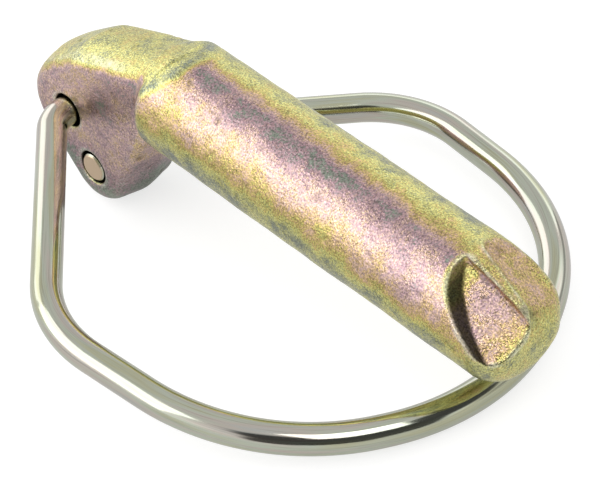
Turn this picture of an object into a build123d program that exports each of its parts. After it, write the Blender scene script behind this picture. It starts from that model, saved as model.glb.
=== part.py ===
"""Lynch pin: a forged pin with a sprung wire ring that locks round its nose.

Frame: the pin's shaft lies along +X with its nose forward, +Z is up and the head hangs down.
The origin is on the shaft's axis, where the shaft comes out of the head. Millimetres.
"""
from build123d import *
from math import atan2, cos, sin, tan, radians
import os

os.makedirs("parts", exist_ok=True)

# ---- driving dimensions: shaft and nose ----
shaft_diameter = 11.4
shaft_length = 44.6        # from the head's shoulder to the end of the nose
shoulder_bevel = 1.3       # bevel where the round shaft steps out of the head
end_rounding = 2.6         # rounding of the nose's end
nose_length = 7.3          # length of the sloping nose
nose_slope = 28.0          # fall of the nose towards its end, degrees
rib_start_width = 1.9      # rib left between the two nose facets, where it rises
rib_end_width = 1.3        # and at the end of the nose
rib_height = 0.5           # how far the rib stands above the facets
facet_fall = 0.4           # sideways fall of each facet, per unit of width

# ---- driving dimensions: head ----
head_width = 8.0           # between the head's two flat faces
draft_angle = 10.0         # forging draft each side of the middle plane, degrees
top_slope = 21.0           # fall of the head's top towards the back, degrees
ridge_reach = 2.7          # how far the top's ridge runs onto the shaft
top_run = 14.6             # length of the sloping top
crown_radius = 5.0         # rounding at the back of the top
back_wall = 4.0            # metal round the upper ring hole
lobe_wall = 2.65           # metal round the lower ring hole
face_rounding = 0.8        # rounding along the edges of the flat faces
mouth_chamfer = 0.25       # chamfer at the mouths of the ring holes

# ---- driving dimensions: ring and its holes ----
wire_diameter = 3.0
hole_clearance = 0.25      # radial play of the wire in its holes
hole_spacing = 6.3         # distance between the two parallel holes
hole_line_angle = 122.4    # direction from the lower hole to the upper one, degrees from +X
pivot_setback = 10.4       # from the shoulder back to the point midway between the holes
pivot_drop = 4.4           # from the underside of the shaft down to that point
ring_gap = 2.2             # play between the shaft and the ring that passes below it
ring_setback = 4.7         # from the end of the nose back to the middle of the ring's wire
leg_reach = 1.8            # how far the legs come out of the faces before they bend
leg_bend_radius = 3.6
shoulder_radius = 12.0     # bend at the ring's widest place
front_radius = 22.9        # bow at the front of the ring
front_arc_half = 83.0      # half of the bow's angle, degrees
side_run = 11.5            # from the bow back to the shoulder's corner
shoulder_lift = 1.3        # how far the twist lifts one shoulder and lowers the other
twist_fade = 0.2           # share of that lift left at the bow's outer corners
end_chamfer = 0.2          # chamfer on the cut ends of the wire

# ---- worked out from the above ----
shaft_radius = shaft_diameter / 2
wire_radius = wire_diameter / 2
hole_radius = wire_radius + hole_clearance
half_width = head_width / 2
pivot_x = -pivot_setback
pivot_z = -(shaft_radius + pivot_drop)
hole_step_x = hole_spacing / 2 * cos(radians(hole_line_angle))
hole_step_z = hole_spacing / 2 * sin(radians(hole_line_angle))
upper_hole = (pivot_x + hole_step_x, pivot_z + hole_step_z)
lower_hole = (pivot_x - hole_step_x, pivot_z - hole_step_z)

back_radius = hole_radius + back_wall
lobe_radius = hole_radius + lobe_wall
top_back_x = ridge_reach - top_run * cos(radians(top_slope))
top_back_z = shaft_radius - top_run * sin(radians(top_slope))
crown_x = top_back_x + crown_radius * sin(radians(top_slope))
crown_z = top_back_z - crown_radius * cos(radians(top_slope))
root_x = -shoulder_bevel / 2
root_top_z = shaft_radius - (ridge_reach - root_x) * tan(radians(top_slope))
root_bottom_z = -(shaft_radius - shoulder_bevel)

cut_margin = 1.0
cut_top_z = shaft_radius + cut_margin
cut_end_x = shaft_length + cut_margin


def slope_z(start_x, x):
    """Height of a plane that starts at the shaft's top at start_x and falls at the nose's slope."""
    return shaft_radius - (x - start_x) * tan(radians(nose_slope))


# ---- forged body: head, shaft and nose in one piece ----
with BuildPart() as pin_body:
    # head: a drafted block round the two ring holes
    with BuildSketch(Plane.XZ):
        with BuildLine():
            CenterArc(upper_hole, back_radius, 0, 360)
            CenterArc(lower_hole, lobe_radius, 0, 360)
            CenterArc((crown_x, crown_z), crown_radius, 0, 360)
            Line((root_x, root_bottom_z), (root_x, root_top_z))
        make_hull()
    extrude(amount=half_width, both=True, taper=draft_angle)
    flat_faces = pin_body.faces().filter_by(Axis.Y)
    fillet(flat_faces.edges(), face_rounding)

    # shaft: round bar with a bevelled shoulder and a rounded end
    with BuildSketch(Plane.XY) as shaft_half:
        with BuildLine():
            Polyline(
                (-shoulder_bevel, 0),
                (-shoulder_bevel, shaft_radius - shoulder_bevel),
                (0, shaft_radius),
                (shaft_length - end_rounding, shaft_radius),
            )
            RadiusArc(
                (shaft_length - end_rounding, shaft_radius),
                (shaft_length, shaft_radius - end_rounding),
                end_rounding,
            )
            Polyline(
                (shaft_length, shaft_radius - end_rounding),
                (shaft_length, 0),
                (-shoulder_bevel, 0),
            )
        make_face()
    revolve(axis=Axis.X)

    # the head's sloping top runs out onto the shaft in a ridge
    with BuildSketch(Plane.XZ):
        with BuildLine():
            Polyline(
                (ridge_reach, shaft_radius),
                (top_back_x, top_back_z),
                (top_back_x, cut_top_z),
                (ridge_reach + cut_margin, cut_top_z),
                close=True,
            )
        make_face()
    extrude(amount=shaft_radius + cut_margin, both=True, taper=-draft_angle, mode=Mode.SUBTRACT)

    # nose: the rib's sloping top, then one facet each side of it
    rib_start_x = shaft_length - nose_length
    with BuildSketch(Plane.XZ):
        with BuildLine():
            Polyline(
                (rib_start_x, shaft_radius),
                (cut_end_x, slope_z(rib_start_x, cut_end_x)),
                (cut_end_x, cut_top_z),
                (rib_start_x, cut_top_z),
                close=True,
            )
        make_face()
    extrude(amount=shaft_radius + cut_margin, both=True, mode=Mode.SUBTRACT)
    facet_start_x = rib_start_x - rib_height / sin(radians(nose_slope))
    facet_run = cut_end_x - facet_start_x
    rib_taper = atan2(rib_start_width - rib_end_width, 2 * nose_length)
    for side in (-1, 1):
        wall_direction = (cos(rib_taper), -side * sin(rib_taper), 0)
        wall_plane = Plane(
            origin=(facet_start_x, side * rib_start_width / 2, 0),
            x_dir=wall_direction,
            z_dir=Vector(*wall_direction).cross(Vector(0, 0, 1)),
        )
        with BuildSketch(wall_plane):
            with BuildLine():
                Polyline(
                    (0, shaft_radius),
                    (facet_run, slope_z(0, facet_run)),
                    (facet_run, cut_top_z),
                    (0, cut_top_z),
                    close=True,
                )
            make_face()
        extrude(amount=shaft_radius, dir=(0, side, -facet_fall), mode=Mode.SUBTRACT)

    # two parallel holes for the ring's legs, right through the head
    for hole_x, hole_z in (upper_hole, lower_hole):
        with BuildSketch(Plane.XZ):
            with Locations((hole_x, hole_z)):
                Circle(hole_radius)
        extrude(amount=half_width + cut_margin, both=True, mode=Mode.SUBTRACT)
    mouths = pin_body.edges().filter_by(GeomType.CIRCLE)
    mouths = mouths.filter_by(lambda e: abs(e.radius - hole_radius) < 0.001)
    chamfer(mouths, mouth_chamfer)

pin_body.part.label = "pin_body"
export_step(pin_body.part, "parts/pin_body.step")

# ---- spring ring: one wire, twisted because its two holes are out of line ----
front_x = shaft_length - ring_setback
bow_x = front_x - front_radius
corner_step = front_arc_half * 2 / 3
corner_out = front_radius / cos(radians(corner_step / 2))
bow_corner_x = bow_x + corner_out * cos(radians(corner_step))
bow_corner_y = corner_out * sin(radians(corner_step))
side_start_x = bow_x + front_radius * cos(radians(front_arc_half))
side_start_y = front_radius * sin(radians(front_arc_half))
shoulder_x = side_start_x - side_run * sin(radians(front_arc_half))
shoulder_y = side_start_y + side_run * cos(radians(front_arc_half))
leg_corner_y = half_width + leg_reach
bow_lift = shoulder_lift * twist_fade
bow_bend_radius = 0.97 * front_radius
bow_z = -(shaft_radius + ring_gap + wire_radius)

with BuildPart() as spring_ring:
    with BuildLine() as wire_path:
        FilletPolyline(
            (upper_hole[0], half_width, upper_hole[1]),
            (upper_hole[0], -leg_corner_y, upper_hole[1]),
            (shoulder_x, -shoulder_y, bow_z + shoulder_lift),
            (bow_corner_x, -bow_corner_y, bow_z + bow_lift),
            (bow_x + corner_out, 0, bow_z),
            (bow_corner_x, bow_corner_y, bow_z - bow_lift),
            (shoulder_x, shoulder_y, bow_z - shoulder_lift),
            (lower_hole[0], leg_corner_y, lower_hole[1]),
            (lower_hole[0], -half_width, lower_hole[1]),
            radius=[
                leg_bend_radius,
                shoulder_radius,
                bow_bend_radius,
                bow_bend_radius,
                bow_bend_radius,
                shoulder_radius,
                leg_bend_radius,
            ],
        )
    with BuildSketch(Plane(origin=wire_path.line @ 0, z_dir=wire_path.line % 0)):
        Circle(wire_radius)
    sweep()
    wire_ends = spring_ring.faces().filter_by(GeomType.PLANE)
    chamfer(wire_ends.edges(), end_chamfer)

spring_ring.part.label = "spring_ring"
export_step(spring_ring.part, "parts/spring_ring.step")
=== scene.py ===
"""Lynch pin: the finished look of the forged pin and its sprung wire ring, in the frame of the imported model."""
import math

import bpy
import numpy as np
from mathutils import Matrix, Vector


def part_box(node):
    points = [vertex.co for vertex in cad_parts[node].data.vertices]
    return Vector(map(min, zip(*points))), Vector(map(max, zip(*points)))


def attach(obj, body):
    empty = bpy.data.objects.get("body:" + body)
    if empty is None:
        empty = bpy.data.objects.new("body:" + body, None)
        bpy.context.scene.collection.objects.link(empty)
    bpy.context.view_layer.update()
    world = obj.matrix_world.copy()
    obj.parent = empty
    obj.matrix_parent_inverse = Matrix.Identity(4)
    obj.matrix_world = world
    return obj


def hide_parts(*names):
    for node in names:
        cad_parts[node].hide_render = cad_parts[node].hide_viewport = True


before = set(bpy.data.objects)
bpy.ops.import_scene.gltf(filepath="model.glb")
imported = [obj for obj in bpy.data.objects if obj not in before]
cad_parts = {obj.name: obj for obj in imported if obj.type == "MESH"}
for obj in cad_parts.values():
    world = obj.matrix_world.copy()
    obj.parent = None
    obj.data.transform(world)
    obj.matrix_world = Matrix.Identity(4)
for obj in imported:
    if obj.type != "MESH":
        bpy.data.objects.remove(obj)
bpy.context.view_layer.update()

bl_info = {
    "name": "Lynch pin",
    "version": (1, 0, 0),
    "blender": (4, 5, 0),
    "location": "View3D > Sidebar > Lynch Pin",
    "description": "Builds a forged, zinc-plated lynch pin with its sprung wire ring, and a plain studio",
    "category": "Add Mesh",
}

MM = 0.001                       # one millimetre, in metres
PIN_LOW, PIN_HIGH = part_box("pin_body")
SHAFT_RADIUS = PIN_HIGH.z        # the shaft's top is the pin's highest place
SHAFT_LENGTH = PIN_HIGH.x        # and the nose ends where the pin does
INSIDE_BOX = 1e-6                # how far inside the pin's box its skin is kept
DEEP = -1e3                      # a distance that anything else outdoes, in millimetres


# ---- sizes and colours that a user may change ----
def length(name, description, default):
    return bpy.props.FloatProperty(name=name, description=description, default=default,
                                   min=0.0, precision=5, unit="LENGTH")


def angle(name, description, degrees):
    return bpy.props.FloatProperty(name=name, description=description,
                                   default=math.radians(degrees), unit="ROTATION")


def radiance(name, description, default):
    return bpy.props.FloatProperty(name=name, description=description, default=default, min=0.0)


def whole_number(name, description, default):
    return bpy.props.IntProperty(name=name, description=description, default=default, min=0)


def colour(name, description, default):
    return bpy.props.FloatVectorProperty(name=name, description=description, default=default,
                                         size=3, min=0.0, max=1.0, subtype="COLOR_GAMMA")


class ForgedPinSettings(bpy.types.PropertyGroup):
    """Sizes of the forged pin and its plating."""
    cell: length("Mesh cell", "Edge of one cell of the pin's mesh", 0.00019)
    shaft_radius: length("Shaft radius", "Radius of the round shaft", SHAFT_RADIUS)
    shaft_length: length("Shaft length", "From the head's shoulder to the end of the nose", SHAFT_LENGTH)
    end_rounding: length("End rounding", "Rounding of the nose's end", 0.0026)
    head_half_width: length("Head half width", "From the middle plane to each flat face", 0.004)
    face_rounding: length("Face rounding", "Rounding along the edges of the flat faces", 0.0008)
    hole_radius: length("Hole radius", "Radius of the two ring holes", 0.00175)
    nose_slope: angle("Nose slope", "Fall of the nose towards its end", 28.0)
    top_slope: angle("Top slope", "Fall of the head's top towards the back", 21.0)
    pocket_depth: length("Pocket depth", "How far the nose's pressed pockets lie below their rims", 0.00062)
    pocket_ramp: length("Pocket ramp", "Width of the ramp down into a pocket", 0.0019)
    grain_depth: length("Forged grain depth", "Height of the scale-blasted grain", 0.00003)
    dent_depth: length("Dent depth", "Depth of the shallow forging dents", 0.00013)
    pit_depth: length("Pit depth", "Depth of the scale pits", 0.00018)
    dent_size: length("Dent size", "Width of the shallow forging dents", 0.0045)
    pit_size: length("Pit size", "Distance between scale pits", 0.0016)
    grain_size: length("Grain size", "Width of the scale-blasted grain", 0.0007)
    seed: whole_number("Seed", "Seed of dents, pits and grain", 7)
    film_gold: colour("Film gold", "Plating where its film is thin", (0.77, 0.70, 0.43))
    film_pink: colour("Film pink", "Plating where its film is thicker", (0.78, 0.67, 0.63))
    film_mauve: colour("Film mauve", "Plating where its film is thickest", (0.69, 0.57, 0.60))


class WireRingSettings(bpy.types.PropertyGroup):
    """Sizes of the ring's wire."""
    wire_radius: length("Wire radius", "Radius of the ring's wire", 0.00149)
    end_chamfer: length("End chamfer", "Chamfer on the wire's cut ends", 0.0002)
    steps_round: whole_number("Steps round", "Faces round the wire", 48)
    steps_bend: whole_number("Steps per bend", "Faces along each bend", 40)
    wire_zinc: colour("Wire zinc", "Bright zinc on the wire", (0.74, 0.76, 0.70))


class StudioSettings(bpy.types.PropertyGroup):
    """Floor, lamps and camera."""
    lens: bpy.props.FloatProperty(name="Lens", description="Focal length of the camera, in millimetres",
                                  default=154.0, subtype="DISTANCE_CAMERA")
    azimuth: angle("Azimuth", "Camera's place round the object", 45.54)
    elevation: angle("Elevation", "Camera's height above the horizon", 43.81)
    key_strength: radiance("Key lamp", "Radiance of the soft key lamp", 1.4)
    top_strength: radiance("Top lamp", "Radiance of the soft top lamp", 2.5)
    side_strength: radiance("Side lamp", "Radiance of the soft side lamp", 1.0)
    back_strength: radiance("Back lamp", "Radiance of the soft back lamp", 0.8)
    floor_white: colour("Floor", "Colour of the floor", (1.0, 1.0, 1.0))


# ---- shader and geometry maths as plain expressions ----
class Value:
    """One socket's value. Arithmetic on it adds Math nodes to its tree."""

    def __init__(self, tree, socket):
        self.tree, self.socket = tree, socket

    def math(self, operation, *operands, clamp=False):
        sockets = dict(enumerate((self, *operands)))
        return self.tree.add("ShaderNodeMath", {"operation": operation, "use_clamp": clamp}, sockets)

    def __add__(self, other): return self.math("ADD", other)
    def __sub__(self, other): return self.math("SUBTRACT", other)
    def __mul__(self, other): return self.math("MULTIPLY", other)
    def __truediv__(self, other): return self.math("DIVIDE", other)
    def __pow__(self, other): return self.math("POWER", other)
    def __neg__(self): return self * -1.0
    def __rsub__(self, other): return self * -1.0 + other
    __radd__, __rmul__ = __add__, __mul__

    def clamped(self):
        return self.math("ADD", 0.0, clamp=True)

    def step(self, low, high):
        """Smooth step from 0 at low to 1 at high."""
        settings = {"interpolation_type": "SMOOTHSTEP"}
        return self.tree.add("ShaderNodeMapRange", settings, {0: self, 1: low, 2: high})


class Tree:
    """A node tree: add() makes any node, with its settings first and then its sockets' values or links."""

    def __init__(self, data):
        self.data = data

    def add(self, kind, settings=None, sockets=None, output=0):
        node = self.data.nodes.new(kind)
        for name, value in (settings or {}).items():
            if name == "stops":
                self.fill(node.color_ramp, value)
            else:
                setattr(node, name, value)
        for name, value in (sockets or {}).items():
            if isinstance(value, Value):
                self.data.links.new(value.socket, node.inputs[name])
            else:
                node.inputs[name].default_value = value
        if not node.outputs:
            return None
        return Value(self, node.outputs[output])

    @staticmethod
    def fill(ramp, stops):
        """Sets a ramp's stops from (position, sRGB colour) pairs."""
        while len(ramp.elements) < len(stops):
            ramp.elements.new(1.0)
        for element, (position, shade) in zip(ramp.elements, stops):
            element.position = position
            element.color = linear(shade)


def linear(shade):
    """An sRGB colour as linear light, with alpha."""
    light = (c / 12.92 if c <= 0.04045 else ((c + 0.055) / 1.055) ** 2.4 for c in shade)
    return (*light, 1.0)


def blend_colours(tree, factor, a, b):
    """Mixes two colours by a factor."""
    return tree.add("ShaderNodeMix", {"data_type": "RGBA", "blend_type": "MIX", "clamp_factor": True},
                    {0: factor, 6: a, 7: b}, output=2)


def own_attribute(tree, name):
    """A number that the object's mesh stores at each corner."""
    return tree.add("ShaderNodeAttribute", {"attribute_name": name}, output=2)


def new_material(name):
    material = bpy.data.materials.new(name)
    material.use_nodes = True
    material.node_tree.nodes.clear()
    return material, Tree(material.node_tree)


def end_in_metal(tree, base, roughness, normal):
    """Ends a material's tree in bare metal."""
    surface = tree.add("ShaderNodeBsdfPrincipled", {}, {
        "Base Color": base, "Metallic": 1.0, "Roughness": roughness, "Normal": normal})
    tree.add("ShaderNodeOutputMaterial", {}, {"Surface": surface})


# ---- the forged body as a rule: distance to its surface, in millimetres, negative inside ----
def smooth_min(a, b, r):
    h = np.maximum(r - np.abs(a - b), 0.0) / r
    return np.minimum(a, b) - h * h * r / 4


def smooth_max(a, b, r):
    return -smooth_min(-a, -b, r)


def share(a, low, high):
    """0 at low, 1 at high and even between them."""
    return np.clip((a - low) / (high - low), 0, 1)


def step(a, low, high):
    """0 at low, 1 at high and smooth between them."""
    t = share(a, low, high)
    return t * t * (3 - 2 * t)


def lay(under, over, where):
    """One value laid over another where a mask says: 0 keeps the lower one, 1 shows the upper one."""
    return under * (1 - where) + over * where


class ForgedShape:
    """The pin's shape in millimetres: head, shaft and pressed nose."""
    # outline of the head in its middle plane: (x, z, radius) of three circles, and the root's two ends
    CIRCLES = ((-9.139, -4.200, 5.0), (-12.088, -7.440, 5.75), (-8.712, -12.760, 4.4))
    ROOT = ((0.9, 5.009, 0.0), (-0.65, -4.4, 0.0))
    HOLES = ((-12.088, -7.440), (-8.712, -12.760))
    TOP_EDGE_X = 2.7             # where the head's top runs out on the shaft
    DRAFT = math.tan(math.radians(10.0))     # forging draft each side of the middle plane
    PARTING = 0.16               # square of the rounding where the two drafts meet
    # sideways fall of the head's top: y squared over the first number, and y to the fourth times the second
    CROWN_NEAR = (18.0, 0.0007)
    CROWN_FAR = (26.0, 0.0004)
    CROWN_SETS_IN = (0.2, 0.6)   # upward turn from which a plane falls with the crown, and over how much
    FACE_EDGE = 1.6              # softness of a flat face's edge, against its rounding
    DIRECTIONS = 240             # planes that wrap the head's outline
    NECK_X = -3.0                # where the shaft ends inside the head
    HEAD_END_X = 3.0             # nothing of the head lies ahead of this
    NOSE_START_X = 33.0          # and nothing of the pressed nose behind this
    MOUTH = 0.15                 # chamfer at the mouths of the holes
    HEAD_BLEND, SHOULDER_BLEND, MOUTH_BLEND = 0.5, 0.35, 0.12
    RIB_START_X = 37.3
    POCKET_STEEPER = 1.15        # a pocket's slope against the nose's
    POCKET_START_X = 37.2
    FACET_FALL = 0.46            # sideways fall of a pocket's plane
    NEAR_WALL = (-1.1, 0.12)     # the near wall's y at the rib's start, and its slope
    FAR_WALL = (0.75, -0.045)
    FAR_SHARE = 0.45             # the far pocket's depth against the near one's
    RAMP_SPAN = 1.9              # how far from the wall a ramp has its full width
    RAMP_LEAST, RAMP_MOST = 0.12, 1.3        # a ramp's least and greatest width against its full width
    WIDEST = 0.985               # how far round the bar a ramp is measured, against its radius
    EDGE = 0.12                  # softness of the pressed edges
    FAR_EDGE = 0.4               # the far pocket's is worn softer
    SOFT = 0.2                   # softness of the other forged edges
    NOSE_BLEND = (0.45, 1.6)     # softness where rib and far pocket meet the bar, and what it gains
    NOSE_BLEND_X = (41.5, 43.5)  # over this length, towards the nose's end
    DOME = 0.01                  # how fast the nose's end falls away from its axis

    def __init__(self, settings):
        mm = {key: getattr(settings, key) / MM for key in (
            "shaft_radius", "shaft_length", "end_rounding", "head_half_width",
            "face_rounding", "hole_radius", "pocket_depth", "pocket_ramp")}
        self.radius, self.length = mm["shaft_radius"], mm["shaft_length"]
        self.rounding, self.hole_radius = mm["end_rounding"], mm["hole_radius"]
        self.half_width, self.face_rounding = mm["head_half_width"], mm["face_rounding"]
        self.pocket_depth, self.pocket_ramp = mm["pocket_depth"], mm["pocket_ramp"]
        self.nose_slope, self.top_slope = settings.nose_slope, settings.top_slope

    def crown(self, y):
        """How far the head's top falls away sideways, faster on the near side."""
        near, far = (y * y / span + steepness * y ** 4
                     for span, steepness in (self.CROWN_NEAR, self.CROWN_FAR))
        return np.where(y < 0, near, far)

    def top(self, x, y, z):
        """The head's sloping top, which runs out on the shaft."""
        s, c = math.sin(self.top_slope), math.cos(self.top_slope)
        return -(x - self.TOP_EDGE_X) * s + (z - self.radius) * c + self.crown(y) * c

    def head(self, x, y, z):
        """The head: planes round its outline, which fall away with the crown above and the draft elsewhere."""
        drafted = self.DRAFT * (np.sqrt(y * y + self.PARTING) - math.sqrt(self.PARTING))
        crowned = self.crown(y)
        crown_from, crown_over = self.CROWN_SETS_IN
        shape = np.full(x.shape, DEEP)
        for k in range(self.DIRECTIONS):
            turn = 2 * math.pi * k / self.DIRECTIONS
            ux, uz = math.cos(turn), math.sin(turn)
            reach = max(cx * ux + cz * uz + r for cx, cz, r in self.CIRCLES + self.ROOT)
            upward = min(max((uz - crown_from) / crown_over, 0.0), 1.0)
            fall = upward * crowned + (1 - upward) * drafted
            np.maximum(shape, x * ux + z * uz - reach + fall, out=shape)
        flat = np.abs(y) - self.half_width
        return smooth_max(shape, flat, self.FACE_EDGE * self.face_rounding)

    def shaft(self, x, y, z):
        """The round bar with its rounded end and the bevel where it leaves the head."""
        r = np.sqrt(y * y + z * z)
        over_x = x + self.DOME * r * r - (self.length - self.rounding)
        over_r = r - (self.radius - self.rounding)
        bar = (np.hypot(np.maximum(over_x, 0), np.maximum(over_r, 0))
               + np.minimum(np.maximum(over_x, over_r), 0) - self.rounding)
        shoulder = (r - x - self.radius) / math.sqrt(2)
        return smooth_max(smooth_max(bar, shoulder, self.SHOULDER_BLEND), self.NECK_X - x, self.SOFT)

    def ramp(self, x, y, side):
        """Height of a pocket's plane, and how far down its ramp a point lies: 0 at the rim, 1 on the floor."""
        slope = self.POCKET_STEEPER * math.tan(self.nose_slope)
        start_y = abs(self.NEAR_WALL[0])
        plane_z = self.radius - (x - self.POCKET_START_X) * slope - self.FACET_FALL * (side * y - start_y)
        inner = np.clip(side * y, -self.radius, self.radius * self.WIDEST)
        bar_z = np.sqrt(self.radius ** 2 - inner ** 2)
        gradient = np.hypot(slope, self.FACET_FALL - inner / bar_z)
        widening = np.clip((side * y - start_y) / self.RAMP_SPAN, self.RAMP_LEAST, self.RAMP_MOST)
        width = self.pocket_ramp * widening
        return plane_z, np.clip((bar_z - plane_z) / gradient / width, 0, 1)

    def pocket(self, x, y, z, side, depth):
        """A pressed pocket's floor with its ramp, on the near (side -1) or the far side (side 1)."""
        plane_z, t = self.ramp(x, y, side)
        recess = depth * (0.7 * t + 0.3 * step(t, 0, 1))
        norm = math.sqrt(math.tan(self.nose_slope) ** 2 + self.FACET_FALL ** 2 + 1)
        return (z - plane_z + recess) / norm

    def wall_y(self, x, wall):
        return wall[0] + (x - self.RIB_START_X) * wall[1]

    def rib(self, x, z):
        """The sloping top of the rib between the two pockets."""
        s, c = math.sin(self.nose_slope), math.cos(self.nose_slope)
        return (x - self.RIB_START_X) * s + (z - self.radius) * c

    def nose(self, x, y, z):
        """What the nose's die takes off, for the near pocket and for the rest: positive outside the metal."""
        near = self.pocket(x, y, z, -1, self.pocket_depth)
        far = self.pocket(x, y, z, 1, self.pocket_depth * self.FAR_SHARE)
        near_cut = smooth_min(near, self.wall_y(x, self.NEAR_WALL) - y, self.EDGE)
        far_cut = smooth_min(far, y - self.wall_y(x, self.FAR_WALL), self.FAR_EDGE)
        return near_cut, smooth_max(self.rib(x, z), far_cut, self.SOFT)

    def holes(self, x, y, z):
        """The two ring holes with their chamfered mouths."""
        depth = np.abs(y) - (self.half_width - self.MOUTH)
        cut = np.full(x.shape, DEEP)
        for hx, hz in self.HOLES:
            rho = np.hypot(x - hx, z - hz)
            np.maximum(cut, self.hole_radius + np.maximum(depth, 0) - rho, out=cut)
        return cut

    def distance(self, x, y, z):
        """Distance to the surface of the whole pin, negative inside."""
        shape = smooth_max(self.shaft(x, y, z), self.top(x, y, z), self.SOFT)
        back = x < self.HEAD_END_X
        if back.any():
            place = x[back], y[back], z[back]
            joined = smooth_min(self.head(*place), shape[back], self.HEAD_BLEND)
            shape[back] = smooth_max(joined, self.holes(*place), self.MOUTH_BLEND)
        front = x > self.NOSE_START_X
        if front.any():
            place = x[front], y[front], z[front]
            near_cut, other_cut = self.nose(*place)
            least, gain = self.NOSE_BLEND
            softness = least + gain * share(place[0], *self.NOSE_BLEND_X)
            pressed = smooth_max(shape[front], other_cut, softness)
            shape[front] = smooth_max(pressed, near_cut, self.EDGE)
        return shape

    def gradient(self, points, reach=0.02):
        """Direction in which the distance grows at each point, from its values a little way off."""
        slope = np.empty_like(points)
        for axis in range(3):
            offset = np.zeros(3)
            offset[axis] = reach
            ahead, behind = points + offset, points - offset
            slope[:, axis] = (self.distance(*ahead.T) - self.distance(*behind.T)) / (2 * reach)
        return slope


def field_of(shape, axes):
    """The shape's distance at every crossing of a grid, worked out a slab at a time."""
    field = np.empty([len(axis) for axis in axes], np.float32)
    slab = 24
    for start in range(0, len(axes[0]), slab):
        grid = np.meshgrid(axes[0][start:start + slab], axes[1], axes[2], indexing="ij")
        field[start:start + slab] = shape.distance(*[g.ravel() for g in grid]).reshape(grid[0].shape)
    return field


def net_corners(field, inside):
    """One corner in each grid cell that the surface passes through, and that cell's place in the list."""
    counts = field.shape
    corners = [(i, j, k) for i in (0, 1) for j in (0, 1) for k in (0, 1)]

    def at_corner(values, corner):
        return values[tuple(slice(start, start + n - 1) for start, n in zip(corner, counts))]

    filled = sum(at_corner(inside, corner).astype(np.int8) for corner in corners)
    mixed = (filled > 0) & (filled < len(corners))
    number = np.full(mixed.shape, -1, np.int64)
    number[mixed] = np.arange(mixed.sum())
    cells = np.argwhere(mixed)
    total = np.zeros((len(cells), 3))
    crossings = np.zeros(len(cells))
    for corner in corners:
        for axis in range(3):
            if corner[axis]:
                continue
            other = tuple(1 if n == axis else v for n, v in enumerate(corner))
            here, there = at_corner(field, corner)[mixed], at_corner(field, other)[mixed]
            cross = (here < 0) != (there < 0)
            t = np.where(cross, here / np.where(cross, here - there, 1), 0)
            place = np.array(corner, float)[None, :] + np.eye(3)[axis][None, :] * t[:, None]
            total += place * cross[:, None]
            crossings += cross
    return cells + total / crossings[:, None], number


def net_quads(inside, number):
    """A quad across each grid edge that the surface cuts, turned so that its normal leaves the metal."""
    quads = []
    for axis in range(3):
        u, v = (axis + 1) % 3, (axis + 2) % 3
        first = tuple(slice(None, -1) if n == axis else slice(1, -1) for n in range(3))
        second = tuple(slice(1, None) if n == axis else slice(1, -1) for n in range(3))
        change = inside[first].astype(np.int8) - inside[second].astype(np.int8)
        for sign in (1, -1):
            edges = np.argwhere(change == sign)
            edges[:, [u, v]] += 1
            quad = []
            for du, dv in ((-1, -1), (0, -1), (0, 0), (-1, 0)):
                cell = edges.copy()
                cell[:, u] += du
                cell[:, v] += dv
                quad.append(number[tuple(cell.T)])
            if sign < 0:
                quad.reverse()
            quads.append(np.stack(quad, 1))
    return np.concatenate(quads)


def skin_of(shape, low, high, cell):
    """Wraps a closed net of quads round the shape's surface, then settles its corners on it. Millimetres."""
    axes = [np.arange(a - 1.5 * cell, b + 2.5 * cell, cell) for a, b in zip(low, high)]
    field = field_of(shape, axes)
    inside = field < 0
    places, number = net_corners(field, inside)
    points = places * cell + np.array([axis[0] for axis in axes])
    settling_rounds, flattest, furthest = 5, 0.05, 0.5 * cell
    for _ in range(settling_rounds):
        slope = shape.gradient(points)
        size = np.maximum((slope * slope).sum(1), flattest)
        move = shape.distance(*points.T)[:, None] * slope / size[:, None]
        reach = np.maximum(np.linalg.norm(move, axis=1, keepdims=True), 1e-9)
        points -= move * np.minimum(1, furthest / reach)
    return points, net_quads(inside, number)


def plain_mesh(name, points, faces):
    mesh = bpy.data.meshes.new(name)
    mesh.from_pydata(points.tolist(), [], faces.tolist())
    mesh.update()
    mesh.polygons.foreach_set("use_smooth", np.ones(len(mesh.polygons), bool))
    return mesh


def link_object(name, data):
    obj = bpy.data.objects.new(name, data)
    bpy.context.scene.collection.objects.link(obj)
    return obj


def aim(obj, place, target):
    obj.location = place
    obj.rotation_euler = (Vector(target) - Vector(place)).to_track_quat("-Z", "Y").to_euler()


def bake_modifiers(obj):
    """Turns the evaluated object into a plain mesh and removes its modifiers."""
    evaluated = obj.evaluated_get(bpy.context.evaluated_depsgraph_get())
    mesh = bpy.data.meshes.new_from_object(evaluated)
    obj.modifiers.clear()
    old = obj.data
    obj.data = mesh
    bpy.data.meshes.remove(old)
    mesh.name = obj.name
    return mesh


def of_corners(mesh, what):
    values = np.empty(len(mesh.vertices) * 3)
    mesh.vertices.foreach_get(what, values)
    return values.reshape(-1, 3)


def coordinates(mesh):
    return of_corners(mesh, "co")


def normals(mesh):
    return of_corners(mesh, "normal")


def store(mesh, name, values):
    attribute = mesh.attributes.new(name, "FLOAT", "POINT")
    attribute.data.foreach_set("value", values.astype(np.float32))


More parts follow.
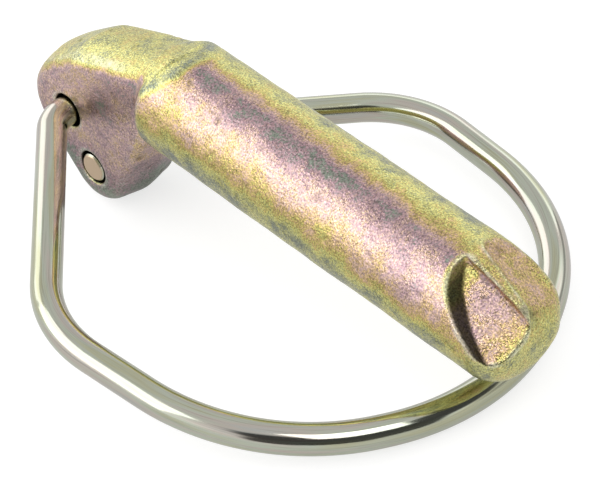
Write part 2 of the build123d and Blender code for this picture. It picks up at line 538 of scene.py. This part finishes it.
# ---- Geometry Nodes ----
class ModifierTree(Tree):
    """A Geometry Nodes tree with named inputs: .put holds their values inside the tree."""

    def __init__(self, name, inputs, material):
        super().__init__(bpy.data.node_groups.new(name, "GeometryNodeTree"))
        new_socket = self.data.interface.new_socket
        new_socket(name="Geometry", in_out="INPUT", socket_type="NodeSocketGeometry")
        self.taken = {}
        for label, kind, value in inputs:
            socket = new_socket(name=label, in_out="INPUT", socket_type=kind)
            socket.default_value = value
            self.taken[socket.identifier] = value
        finish = new_socket(name="Material", in_out="INPUT", socket_type="NodeSocketMaterial")
        self.taken[finish.identifier] = material
        new_socket(name="Geometry", in_out="OUTPUT", socket_type="NodeSocketGeometry")
        source = self.data.nodes.new("NodeGroupInput")
        self.put = {socket.name: Value(self, socket) for socket in source.outputs if socket.name}

    def keep(self, geometry, name, value):
        """Stores a value at each point under a name."""
        return self.add("GeometryNodeStoreNamedAttribute", {"data_type": "FLOAT", "domain": "POINT"},
                        {"Geometry": geometry, "Name": name, "Value": value})

    def end(self, geometry):
        """Ends the tree in real geometry with the material on it."""
        realized = self.add("GeometryNodeRealizeInstances", {}, {"Geometry": geometry})
        painted = self.add("GeometryNodeSetMaterial", {}, {
            "Geometry": realized, "Material": self.put["Material"]})
        self.add("NodeGroupOutput", {}, {"Geometry": painted})

    def apply(self, obj):
        """Runs the tree on an object and leaves the result as its plain mesh."""
        modifier = obj.modifiers.new(self.data.name, "NODES")
        modifier.node_group = self.data
        for identifier, value in self.taken.items():
            modifier[identifier] = value
        return bake_modifiers(obj)


def forged_skin(settings, material):
    """A tree that presses dents, pits and grain into a body."""
    sizes = (("Dent depth", settings.dent_depth), ("Pit depth", settings.pit_depth),
             ("Grain depth", settings.grain_depth), ("Dent size", settings.dent_size),
             ("Pit size", settings.pit_size), ("Grain size", settings.grain_size))
    inputs = [(label, "NodeSocketFloat", value) for label, value in sizes]
    tree = ModifierTree("Forged skin", (*inputs, ("Seed", "NodeSocketInt", settings.seed)), material)
    put = tree.put
    position = tree.add("GeometryNodeInputPosition")
    seed = put["Seed"] * 1.0

    def noise(size, detail, shift):
        return tree.add("ShaderNodeTexNoise", {"noise_dimensions": "4D"},
                        {"Vector": position, "W": seed + shift, "Scale": size ** -1.0,
                         "Detail": detail, "Roughness": 0.55})

    dents = noise(put["Dent size"], 1.5, 0.0)
    grain = noise(put["Grain size"], 2.0, 7.3)
    cells = tree.add("ShaderNodeTexVoronoi", {"voronoi_dimensions": "4D", "feature": "F1"},
                     {"Vector": position, "W": seed + 3.1, "Scale": put["Pit size"] ** -1.0})
    pit_mask = noise(put["Pit size"], 0.0, 11.0)
    pits = (1.0 - (cells / 0.42)).clamped() * ((pit_mask - 0.52) * 9.0).clamped()
    height = ((dents - 0.72) * put["Dent depth"] * 2.0
              + (grain - 0.62) * put["Grain depth"] * 2.0
              - pits * put["Pit depth"])
    normal = tree.add("GeometryNodeInputNormal")
    offset = tree.add("ShaderNodeVectorMath", {"operation": "SCALE"}, {0: normal, "Scale": height})
    moved = tree.add("GeometryNodeSetPosition", {}, {"Geometry": put["Geometry"], "Offset": offset})
    tree.end(tree.keep(moved, "pits", pits))
    return tree


def bent_wire(settings, material):
    """A tree that bends a chain of edges to its corner radii and sweeps the wire's circle along it."""
    tree = ModifierTree("Bent wire", (
        ("Wire radius", "NodeSocketFloat", settings.wire_radius),
        ("Steps round", "NodeSocketInt", settings.steps_round),
        ("Steps per bend", "NodeSocketInt", settings.steps_bend),
    ), material)
    put = tree.put

    def named(name):
        return tree.add("GeometryNodeInputNamedAttribute", {"data_type": "FLOAT"}, {"Name": name})

    line = tree.add("GeometryNodeMeshToCurve", {}, {"Mesh": put["Geometry"]})
    bent = tree.add("GeometryNodeFilletCurve", {"mode": "POLY"}, {
        "Curve": line, "Radius": named("bend"), "Count": put["Steps per bend"], "Limit Radius": False})
    spaced = tree.add("GeometryNodeSetCurveRadius", {}, {"Curve": bent, "Radius": named("thickness")})
    along = tree.add("GeometryNodeSplineParameter", output=1)
    path = tree.keep(spaced, "along", along)
    circle = tree.add("GeometryNodeCurvePrimitiveCircle", {"mode": "RADIUS"},
                      {"Resolution": put["Steps round"], "Radius": put["Wire radius"]})
    turn = tree.add("GeometryNodeSplineParameter", output=0) * (2 * math.pi)
    circle = tree.keep(tree.keep(circle, "round_x", turn.math("COSINE")), "round_y", turn.math("SINE"))
    tube = tree.add("GeometryNodeCurveToMesh", {}, {
        "Curve": path, "Profile Curve": circle, "Scale": named("thickness"), "Fill Caps": True})
    tree.end(tube)
    return tree


# ---- where the plating's film is thick or thin ----
# The film's order stands for its colour: 0 grey-green, 0.25 yellow-green, 0.4 gold, 0.55 orange, 0.7 pink,
# 0.85 mauve. Round the shaft it goes by (degrees from the top towards the near side, order).
FILM_ROUND = (
    (-180, 0.26), (-120, 0.42), (-75, 0.24), (-42, 0.24), (-22, 0.28), (-9, 0.34), (1, 0.50), (14, 0.84),
    (36, 0.74), (56, 0.68), (72, 0.58), (82, 0.46), (94, 0.24), (112, 0.14), (150, 0.40), (180, 0.26),
)
FILM_TWIST = 7.0                 # how far those bands have turned at each end of the shaft, in degrees
SHAFT_MIDDLE = 22.0
FILM_UP, FILM_BEVEL, FILM_RIB, FILM_FAR, FILM_END, FILM_RIDGE = 0.27, 0.66, 0.46, 0.48, 0.29, 0.06


def film_on_head(shape, film, points, facing):
    """Lays the head's film over the shaft's: its faces, its top and the bevel where the shaft leaves it."""
    x, y, z = points.T
    flat = step(np.abs(facing[:, 1]), 0.80, 0.97) * (x < -0.2)
    upward = step(facing[:, 2], 0.25, 0.7)
    on_head = 1 - step(x + 0.25 * np.abs(y), -0.6, 0.6)
    on_top = step(shape.top(x, y, z), -0.16, -0.04) * (x < 4.0)
    # low on the head the film's order rises to the darker grey-green end of the ramp: partly the film's colour,
    # partly painted shade that keeps the bottom of the head darker
    side = 0.64 + 0.34 * step(-z, 8.0, 14.0)
    face = 0.76 + 0.24 * step(-z, 9.0, 14.5) + 0.10 * step(x, -5.0, -1.0)
    film = lay(film, lay(np.where(flat > 0.5, face, side), FILM_UP, upward), on_head)
    film = lay(film, 0.30 - 0.05 * np.abs(y) / 4, on_top)
    on_bevel = step(x, -1.5, -1.1) * step(-x, -0.3, 0.0) * (1 - on_top) * step(np.hypot(y, z), 4.2, 4.6)
    return lay(film, FILM_BEVEL, on_bevel)


def film_on_nose(shape, film, points, facing):
    """Lays the nose's film over the shaft's: the near pocket, the rib, the far pocket and the end."""
    x, y, z = points.T
    near_wall, far_wall = (shape.wall_y(x, wall) for wall in (shape.NEAR_WALL, shape.FAR_WALL))
    near = shape.pocket(x, y, z, -1, shape.pocket_depth)
    in_near = step(-np.abs(near), -0.25, -0.1) * step(near_wall - y, 0.0, 0.1) * (x > 35.5)
    pocket_ends = np.maximum(step(-x, -39.4, -38.4), step(x, 43.4, 44.3))
    film = lay(film, 0.64 - 0.26 * pocket_ends, in_near)
    rib = shape.rib(x, z)
    on_rib = step(-np.abs(rib), -0.25, -0.1) * (x > 37) * (y > near_wall - 0.05) * (y < far_wall)
    film = lay(film, FILM_RIB, on_rib)
    film = lay(film, FILM_FAR, step(y, 0.7, 1.0) * (x > 36.5) * step(facing[:, 0], 0.2, 0.4))
    return lay(film, FILM_END, step(facing[:, 0], 0.6, 0.85) * (x > 43.2))


def film_of(shape, points, facing):
    """The film's order at each point of the pin, in millimetres, with the way it faces."""
    x, y, z = points.T
    turn = np.degrees(np.arctan2(-y, z))
    drift = (x - SHAFT_MIDDLE) / SHAFT_MIDDLE * FILM_TWIST
    film = np.interp(turn - drift, *zip(*FILM_ROUND))
    film = film_on_head(shape, film, points, facing)
    film = film_on_nose(shape, film, points, facing)
    ridge = np.maximum(np.abs(np.hypot(y, z) - shape.radius), np.abs(shape.top(x, y, z)))
    on_ridge = 0.9 * step(-ridge, -0.5, -0.05) * (x < 4.0) * (x > -1.6)
    return lay(film, FILM_RIDGE, on_ridge)


def hole_scale_and_painted_shade(shape, points):
    """Dark unplated scale and painted shade: 1 deep in the ring holes, less as a painted dark reflection on the
    near pocket's ramp and as painted shade low on the head, 0 on open metal.
    """
    x, y, z = points.T
    down = shape.ramp(x, y, -1)[1]
    in_pocket = np.abs(shape.pocket(x, y, z, -1, shape.pocket_depth)) < 0.15
    # painted dark reflection: a dark band along the near pocket's ramp, where the metal would mirror an unlit
    # part of the room
    painted_ramp_reflection = np.clip(down * 8, 0, 1) * np.clip((1 - down) * 8, 0, 1) * np.clip((x - 36.8) / 1.2, 0, 1)
    painted_ramp_reflection = 0.9 * painted_ramp_reflection * in_pocket * (y < shape.wall_y(x, shape.NEAR_WALL) - 0.4)
    # deep in the ring holes: dark unplated scale, and painted shade where little light reaches
    from_hole = np.min([np.hypot(x - hx, z - hz) for hx, hz in shape.HOLES], axis=0)
    inside = np.clip((shape.hole_radius + 0.12 - from_hole) / 0.1, 0, 1)
    holes = inside * np.clip((shape.half_width - np.abs(y)) / 0.4, 0, 1)
    # painted shade, darker towards the bottom of the head
    painted_underside_shade = 0.2 * np.clip((-z - 5.0) / 5.0, 0, 1) * (x < 0.5)
    return np.maximum(np.maximum(holes, painted_ramp_reflection), painted_underside_shade)


def painted_top_highlight(points, facing):
    """Painted highlight: how much paler the near side of the head's top is painted, where the side lamp's
    highlight falls: 0 on the rest of the pin, up to 1.5.
    """
    on_head = np.clip(-points[:, 0] - 3.0, 0, 1) * (facing[:, 2] > 0.6)
    return on_head * np.clip(-points[:, 1] - 1.5, 0, 1.5)


def edge_wear_and_sheen(mesh, rounds=9):
    """How far each corner stands out from the smoothed mesh, in millimetres: most on an outward edge."""
    points = coordinates(mesh)
    size = len(points)
    edges = np.empty(len(mesh.edges) * 2, np.int64)
    mesh.edges.foreach_get("vertices", edges)
    first, last = edges.reshape(-1, 2).T
    neighbours = np.bincount(first, minlength=size) + np.bincount(last, minlength=size)
    smooth = points.copy()
    for _ in range(rounds):
        total = np.zeros_like(smooth)
        for axis in range(3):
            total[:, axis] = (np.bincount(first, smooth[last, axis], size)
                              + np.bincount(last, smooth[first, axis], size))
        smooth = total / neighbours[:, None]
    return ((points - smooth) * normals(mesh)).sum(1) / MM


# ---- materials ----
def forged_zinc(settings):
    """Yellow-passivated zinc over a blasted forging: an iridescent film on a satin, grainy metal."""
    material, tree = new_material("forged_yellow_zinc_finish")
    here = tree.add("ShaderNodeTexCoord", output=3)
    film, edge, pits, shade = (own_attribute(tree, name) for name in ("film", "edge", "pits", "shade"))

    def noise(scale, detail, stretch=(1.0, 1.0, 1.0), roughness=0.55):
        at = tree.add("ShaderNodeMapping", {}, {
            "Vector": here, "Scale": stretch, "Location": (0.013, 0.021, 0.017)})
        return tree.add("ShaderNodeTexNoise", {"noise_dimensions": "3D"},
                        {"Vector": at, "Scale": scale, "Detail": detail, "Roughness": roughness})

    def around_zero(field, gain):
        return (field - 0.5) * gain

    clouds = noise(230.0, 3.0, (0.5, 1.0, 1.0))
    patches = noise(760.0, 2.5)
    broad = noise(330.0, 1.0, (1.0, 1.0, 0.8))
    speckle = noise(4600.0, 1.0)
    grit = noise(6400.0, 1.0, (1.1, 0.9, 1.0))
    order = (film + around_zero(broad, 0.46) + around_zero(clouds, 0.54)
             + around_zero(patches, 0.44) + around_zero(speckle, 0.55))
    plating = tree.add("ShaderNodeValToRGB", {"stops": (
        (0.00, (0.50, 0.53, 0.47)),
        (0.14, (0.66, 0.66, 0.48)),
        (0.28, (0.80, 0.79, 0.50)),
        (0.42, tuple(settings.film_gold)),
        (0.56, (0.80, 0.68, 0.53)),
        (0.70, tuple(settings.film_pink)),
        (0.84, tuple(settings.film_mauve)),
        (1.00, (0.52, 0.55, 0.50)),
    )}, {0: order.clamped()})
    # pale plating where the edge value is high: worn plating and a painted sheen on outward edges, and the
    # painted highlight on the near side of the head's top
    bare = (edge.step(0.018, 0.08) * around_zero(patches, 3.0).math("ADD", 0.6, clamp=True)).clamped()
    wear_and_sheen = blend_colours(tree, bare * 0.6, plating, linear((0.80, 0.81, 0.74)))
    dull = blend_colours(tree, (pits * 0.6).clamped(), wear_and_sheen, linear((0.46, 0.42, 0.36)))
    # painted shade and dark scale: darkens the colour in the holes, on the pocket's ramp and low on the head
    dark = blend_colours(tree, shade, dull, linear((0.12, 0.12, 0.09)))
    bright = 1.0 + around_zero(grit, 2.2) + around_zero(patches, 0.6)
    shaded = tree.add("ShaderNodeVectorMath", {"operation": "SCALE"}, {0: dark, "Scale": bright})
    roughness = (0.27 + around_zero(patches, 0.25) + pits * 0.15
                 + around_zero(clouds, 0.15) + shade * 0.3).clamped()
    grain = tree.add("ShaderNodeBump", {}, {
        "Strength": 1.0, "Distance": 0.00006, "Height": noise(4400.0, 2.0, roughness=0.7)})
    grain = tree.add("ShaderNodeBump", {}, {
        "Strength": 0.8, "Distance": 0.000025, "Height": noise(9200.0, 1.0), "Normal": grain})
    end_in_metal(tree, shaded, roughness, grain)
    return material


def wire_zinc(settings):
    """Bright zinc on drawn wire, with faint lengthwise marks and a breath of film."""
    material, tree = new_material("zinc_wire_finish")
    round_x, round_y, along, cut = (
        own_attribute(tree, name) for name in ("round_x", "round_y", "along", "cut_end"))

    def marks(across, lengthwise, detail):
        at = tree.add("ShaderNodeCombineXYZ", {}, {
            0: round_x * across, 1: round_y * across, 2: along * lengthwise})
        return tree.add("ShaderNodeTexNoise", {}, {
            "Vector": at, "Scale": 1.0, "Detail": detail, "Roughness": 0.6})

    streaks = marks(5.5, 60.0, 3.0)
    fine = marks(16.0, 160.0, 2.0)
    film = marks(1.1, 55.0, 2.0)
    tint = tree.add("ShaderNodeValToRGB", {"stops": (
        (0.25, (0.70, 0.74, 0.69)),
        (0.40, (0.73, 0.73, 0.62)),
        (0.50, tuple(settings.wire_zinc)),
        (0.60, (0.76, 0.73, 0.69)),
        (0.78, (0.70, 0.73, 0.72)),
    )}, {0: film})
    clean = blend_colours(tree, ((fine - 0.5) * 1.2).clamped(), tint, linear((0.42, 0.40, 0.32)))
    base = blend_colours(tree, cut, clean, linear((0.78, 0.69, 0.58)))
    roughness = (0.06 + streaks * 0.10 + cut * 0.2).clamped()
    height = streaks * 0.7 + fine * 0.3
    drawn = tree.add("ShaderNodeBump", {}, {"Strength": 0.35, "Distance": 0.00002, "Height": height})
    end_in_metal(tree, base, roughness, drawn)
    return material


def floor_finish(settings):
    """White to the camera and in reflections, with a light soft shadow kept."""
    material, tree = new_material("studio_floor")
    white = (*settings.floor_white, 1.0)
    camera, glossy, transmission = (tree.add("ShaderNodeLightPath", output=name) for name in (
        "Is Camera Ray", "Is Glossy Ray", "Is Transmission Ray"))
    seen = (camera + glossy + transmission).clamped()
    plain = tree.add("ShaderNodeBsdfDiffuse", {}, {"Color": (0.8, 0.8, 0.8, 1.0)})
    soft = tree.add("ShaderNodeBsdfDiffuse", {}, {"Color": (0.40, 0.40, 0.40, 1.0)})
    glow = tree.add("ShaderNodeEmission", {}, {"Color": white, "Strength": camera * 0.30 + 0.42})
    shown = tree.add("ShaderNodeAddShader", {}, {0: soft, 1: glow})
    both = tree.add("ShaderNodeMixShader", {}, {0: seen, 1: plain, 2: shown})
    tree.add("ShaderNodeOutputMaterial", {}, {"Surface": both})
    return material


# ---- operators ----
class OBJECT_OT_forged_pin(bpy.types.Operator):
    """Build the forged pin: head, shaft and pressed nose in one piece of plated metal"""
    bl_idname = "lynch_pin.forged_pin"
    bl_label = "Forged Pin"
    bl_options = {"REGISTER", "UNDO"}
    TOP_HIGHLIGHT = 0.025               # what the painted highlight on the head's top adds to the edge value, in millimetres

    def execute(self, context):
        settings = context.scene.forged_pin
        shape = ForgedShape(settings)
        low, high = np.array(PIN_LOW) / MM, np.array(PIN_HIGH) / MM
        corners, quads = skin_of(shape, low, high, settings.cell / MM)
        mesh = plain_mesh("forged_pin", corners * MM, quads)
        points, facing = coordinates(mesh) / MM, normals(mesh)
        store(mesh, "film", film_of(shape, points, facing))
        # painted shade and dark scale, as one number at each corner
        store(mesh, "shade", hole_scale_and_painted_shade(shape, points))
        # the edge value carries worn plating, a painted edge sheen and the painted highlight on the head's top
        store(mesh, "edge", edge_wear_and_sheen(mesh) + self.TOP_HIGHLIGHT * painted_top_highlight(points, facing))
        body = link_object("forged_pin", mesh)
        mesh = forged_skin(settings, forged_zinc(settings)).apply(body)
        kept = np.clip(coordinates(mesh), np.array(PIN_LOW) + INSIDE_BOX, np.array(PIN_HIGH) - INSIDE_BOX)
        mesh.vertices.foreach_set("co", kept.ravel())
        mesh.update()
        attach(body, "pin")
        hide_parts("pin_body")
        return {"FINISHED"}


class OBJECT_OT_wire_ring(bpy.types.Operator):
    """Build the sprung wire ring, whose two ends sit in the head's offset holes"""
    bl_idname = "lynch_pin.wire_ring"
    bl_label = "Wire Ring"
    bl_options = {"REGISTER", "UNDO"}
    # the wire's corners, in millimetres, and the radius of the bend at each
    ROUTE = (
        ((-12.088, 4.0, -7.440), 0.0),
        ((-12.088, -5.8, -7.440), 3.6),
        ((8.377, -24.131, -8.1), 12.0),
        ((31.707, -21.266, -9.14), 22.213),
        ((42.856, 0.0, -9.4), 22.213),
        ((31.707, 21.266, -9.66), 22.213),
        ((8.377, 24.131, -10.7), 12.0),
        ((-8.712, 5.8, -12.760), 3.6),
        ((-8.712, -4.0, -12.760), 0.0),
    )

    def execute(self, context):
        settings = context.scene.wire_ring
        order = [Vector(place) * MM for place, _ in self.ROUTE]
        bends = [radius * MM for _, radius in self.ROUTE]
        # the wire grows from its chamfered cut end to full thickness over the chamfer's length
        inner_first = order[0] + (order[1] - order[0]).normalized() * settings.end_chamfer
        inner_last = order[-1] + (order[-2] - order[-1]).normalized() * settings.end_chamfer
        points = [order[0], inner_first, *order[1:-1], inner_last, order[-1]]
        bends = [0.0, *bends, 0.0]
        mesh = bpy.data.meshes.new("wire_ring")
        mesh.from_pydata(points, [(i, i + 1) for i in range(len(points) - 1)], [])
        store(mesh, "bend", np.array(bends))
        end = 1 - settings.end_chamfer / settings.wire_radius
        store(mesh, "thickness", np.array([end] + [1.0] * (len(points) - 2) + [end]))
        ring = link_object("wire_ring", mesh)
        mesh = bent_wire(settings, wire_zinc(settings)).apply(ring)
        at = coordinates(mesh) / MM
        to_end = [np.linalg.norm(at - np.array(self.ROUTE[n][0]), axis=1) for n in (0, -1)]
        cut = np.min(to_end, axis=0) < settings.wire_radius / MM
        cut &= np.abs(at[:, 1]) > abs(self.ROUTE[0][0][1]) - settings.end_chamfer / MM / 2
        store(mesh, "cut_end", cut)
        smooth = [not any(cut[v] for v in face.vertices) for face in mesh.polygons]
        mesh.polygons.foreach_set("use_smooth", smooth)
        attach(ring, "ring")
        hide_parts("spring_ring")
        return {"FINISHED"}


class OBJECT_OT_studio(bpy.types.Operator):
    """Set up the floor, the soft lamps, the room's light and the camera"""
    bl_idname = "lynch_pin.studio"
    bl_label = "Studio"
    bl_options = {"REGISTER", "UNDO"}
    FLOOR_HALF = 3.0
    CAMERA_PLACE = (0.1382, -0.1197, 0.1558)
    CAMERA_ROLL = 0.2
    # the floor touches the head's lobe and the ring's bow: (x, z) of both, in millimetres
    RESTS_ON = ((-8.1, -17.16), (39.7, -10.9))
    # unlit openings in the room, which draw dark lines on the wire: direction and the cosine of their reach
    OPENINGS = (
        ((0.53, -0.57, 0.63), 0.965),
        ((0.88, -0.24, 0.40), 0.93),
        ((0.72, 0.24, 0.66), 0.95),
        ((0.68, -0.66, 0.26), 0.95),
    )
    # brighter parts of the room's walls: direction, the cosines where each fades out and is full, and its gain
    GLOWS = (
        ((-0.40, -0.85, 0.34), 0.70, 0.90, 0.15),
        ((0.10, 0.78, 0.62), 0.93, 0.975, 0.8),
    )
    OPENING_FADE = 0.04          # over how much cosine an opening's edge fades
    OPENING_DARK = 0.9           # how much of the walls' light an opening takes away
    # each soft lamp: name, direction towards it, width, height and which strength it takes
    LAMPS = (
        ("key_softbox", (-0.48, -0.72, 0.47), 0.50, 0.36, "key_strength"),
        ("top_softbox", (0.52, -0.15, 0.84), 0.20, 0.20, "top_strength"),
        ("side_softbox", (-0.97, 0.00, 0.28), 0.34, 0.22, "side_strength"),
        ("back_softbox", (-0.50, 0.80, 0.26), 0.34, 0.16, "back_strength"),
    )
    LAMP_DISTANCE = 0.42
    LAMP_TARGET = (0.015, 0.0, 0.0)

    def lamp(self, name, direction, width, height, strength):
        data = bpy.data.lights.new(name, "AREA")
        data.shape = "RECTANGLE"
        data.size, data.size_y = width, height
        data.energy = strength * math.pi * width * height
        aim(link_object(name, data), Vector(direction).normalized() * self.LAMP_DISTANCE, self.LAMP_TARGET)

    def floor(self, settings):
        (head_x, head_z), (bow_x, bow_z) = self.RESTS_ON
        tilt = (bow_z - head_z) / (bow_x - head_x)
        half = self.FLOOR_HALF
        corners = [(x, y, (head_z + (x / MM - head_x) * tilt) * MM)
                   for x, y in ((-half, -half), (half, -half), (half, half), (-half, half))]
        mesh = bpy.data.meshes.new("floor")
        mesh.from_pydata(corners, [], [(0, 1, 2, 3)])
        mesh.materials.append(floor_finish(settings))
        link_object("floor", mesh)

    def room(self):
        world = bpy.data.worlds.new("room")
        bpy.context.scene.world = world
        world.use_nodes = True
        world.node_tree.nodes.clear()
        tree = Tree(world.node_tree)
        direction = tree.add("ShaderNodeTexCoord", output=0)
        across, height = (tree.add("ShaderNodeSeparateXYZ", {}, {0: direction}, output=n) for n in (1, 2))

        def nearness(centre):
            """Cosine of the angle between the direction looked in and a centre's."""
            return tree.add("ShaderNodeVectorMath", {"operation": "DOT_PRODUCT"},
                            {0: direction, 1: Vector(centre).normalized()}, output=1)

        walls = tree.add("ShaderNodeValToRGB", {"stops": (
            (0.00, (1.0, 1.0, 1.0)),
            (0.30, (1.0, 1.0, 1.0)),
            (0.60, (0.88, 0.88, 0.88)),
            (1.00, (0.90, 0.90, 0.90)),
        )}, {0: height})
        # a low, half-lit gap along the wall behind the object, then the unlit openings
        low_gap = across.step(0.2, 0.6) * height.step(0.05, 0.12) * (1.0 - height.step(0.24, 0.34))
        dark = low_gap * 0.55
        for centre, inner in self.OPENINGS:
            opening = nearness(centre).step(inner - self.OPENING_FADE, inner)
            dark = dark.math("MAXIMUM", opening * self.OPENING_DARK)
        light = blend_colours(tree, dark, walls, (0.0, 0.0, 0.0, 1.0))
        glow = 1.0
        for centre, outer, inner, gain in self.GLOWS:
            glow = nearness(centre).step(outer, inner) * gain + glow
        shine = tree.add("ShaderNodeBackground", {}, {"Color": light, "Strength": glow})
        tree.add("ShaderNodeOutputWorld", {}, {"Surface": shine})

    def camera(self, settings):
        data = bpy.data.cameras.new("camera")
        data.lens = settings.lens
        data.sensor_width = 36.0
        data.clip_start, data.clip_end = 0.01, 20.0
        camera = link_object("camera", data)
        azimuth, elevation = settings.azimuth, settings.elevation
        level = math.cos(elevation)
        back = Vector((math.sin(azimuth) * level, -math.cos(azimuth) * level, math.sin(elevation)))
        turn = back.to_track_quat("Z", "Y").to_matrix().to_4x4()
        roll = Matrix.Rotation(math.radians(self.CAMERA_ROLL), 4, "Z")
        camera.matrix_world = Matrix.Translation(self.CAMERA_PLACE) @ turn @ roll
        bpy.context.scene.camera = camera

    def execute(self, context):
        settings = context.scene.pin_studio
        self.floor(settings)
        for name, direction, width, height, strength in self.LAMPS:
            self.lamp(name, direction, width, height, getattr(settings, strength))
        self.room()
        self.camera(settings)
        context.scene.view_settings.view_transform = "Standard"
        return {"FINISHED"}


class VIEW3D_PT_lynch_pin(bpy.types.Panel):
    """Buttons for the lynch pin's pieces and its studio"""
    bl_idname = "VIEW3D_PT_lynch_pin"
    bl_label = "Lynch Pin"
    bl_space_type = "VIEW_3D"
    bl_region_type = "UI"
    bl_category = "Lynch Pin"

    def draw(self, context):
        for operator in OPERATORS:
            self.layout.operator(operator.bl_idname)
        for group in (context.scene.forged_pin, context.scene.wire_ring, context.scene.pin_studio):
            box = self.layout.box()
            for name in group.bl_rna.properties.keys():
                if name not in ("rna_type", "name"):
                    box.prop(group, name)


OPERATORS = (OBJECT_OT_studio, OBJECT_OT_forged_pin, OBJECT_OT_wire_ring)
GROUPS = {"forged_pin": ForgedPinSettings, "wire_ring": WireRingSettings, "pin_studio": StudioSettings}
CLASSES = (*GROUPS.values(), *OPERATORS, VIEW3D_PT_lynch_pin)


def register():
    for cls in CLASSES:
        bpy.utils.register_class(cls)
    for name, group in GROUPS.items():
        setattr(bpy.types.Scene, name, bpy.props.PointerProperty(type=group))


def unregister():
    for name in GROUPS:
        delattr(bpy.types.Scene, name)
    for cls in reversed(CLASSES):
        bpy.utils.unregister_class(cls)


def main():
    register()
    bpy.ops.lynch_pin.studio()
    bpy.ops.lynch_pin.forged_pin()
    bpy.ops.lynch_pin.wire_ring()


if __name__ == "__main__":
    main()
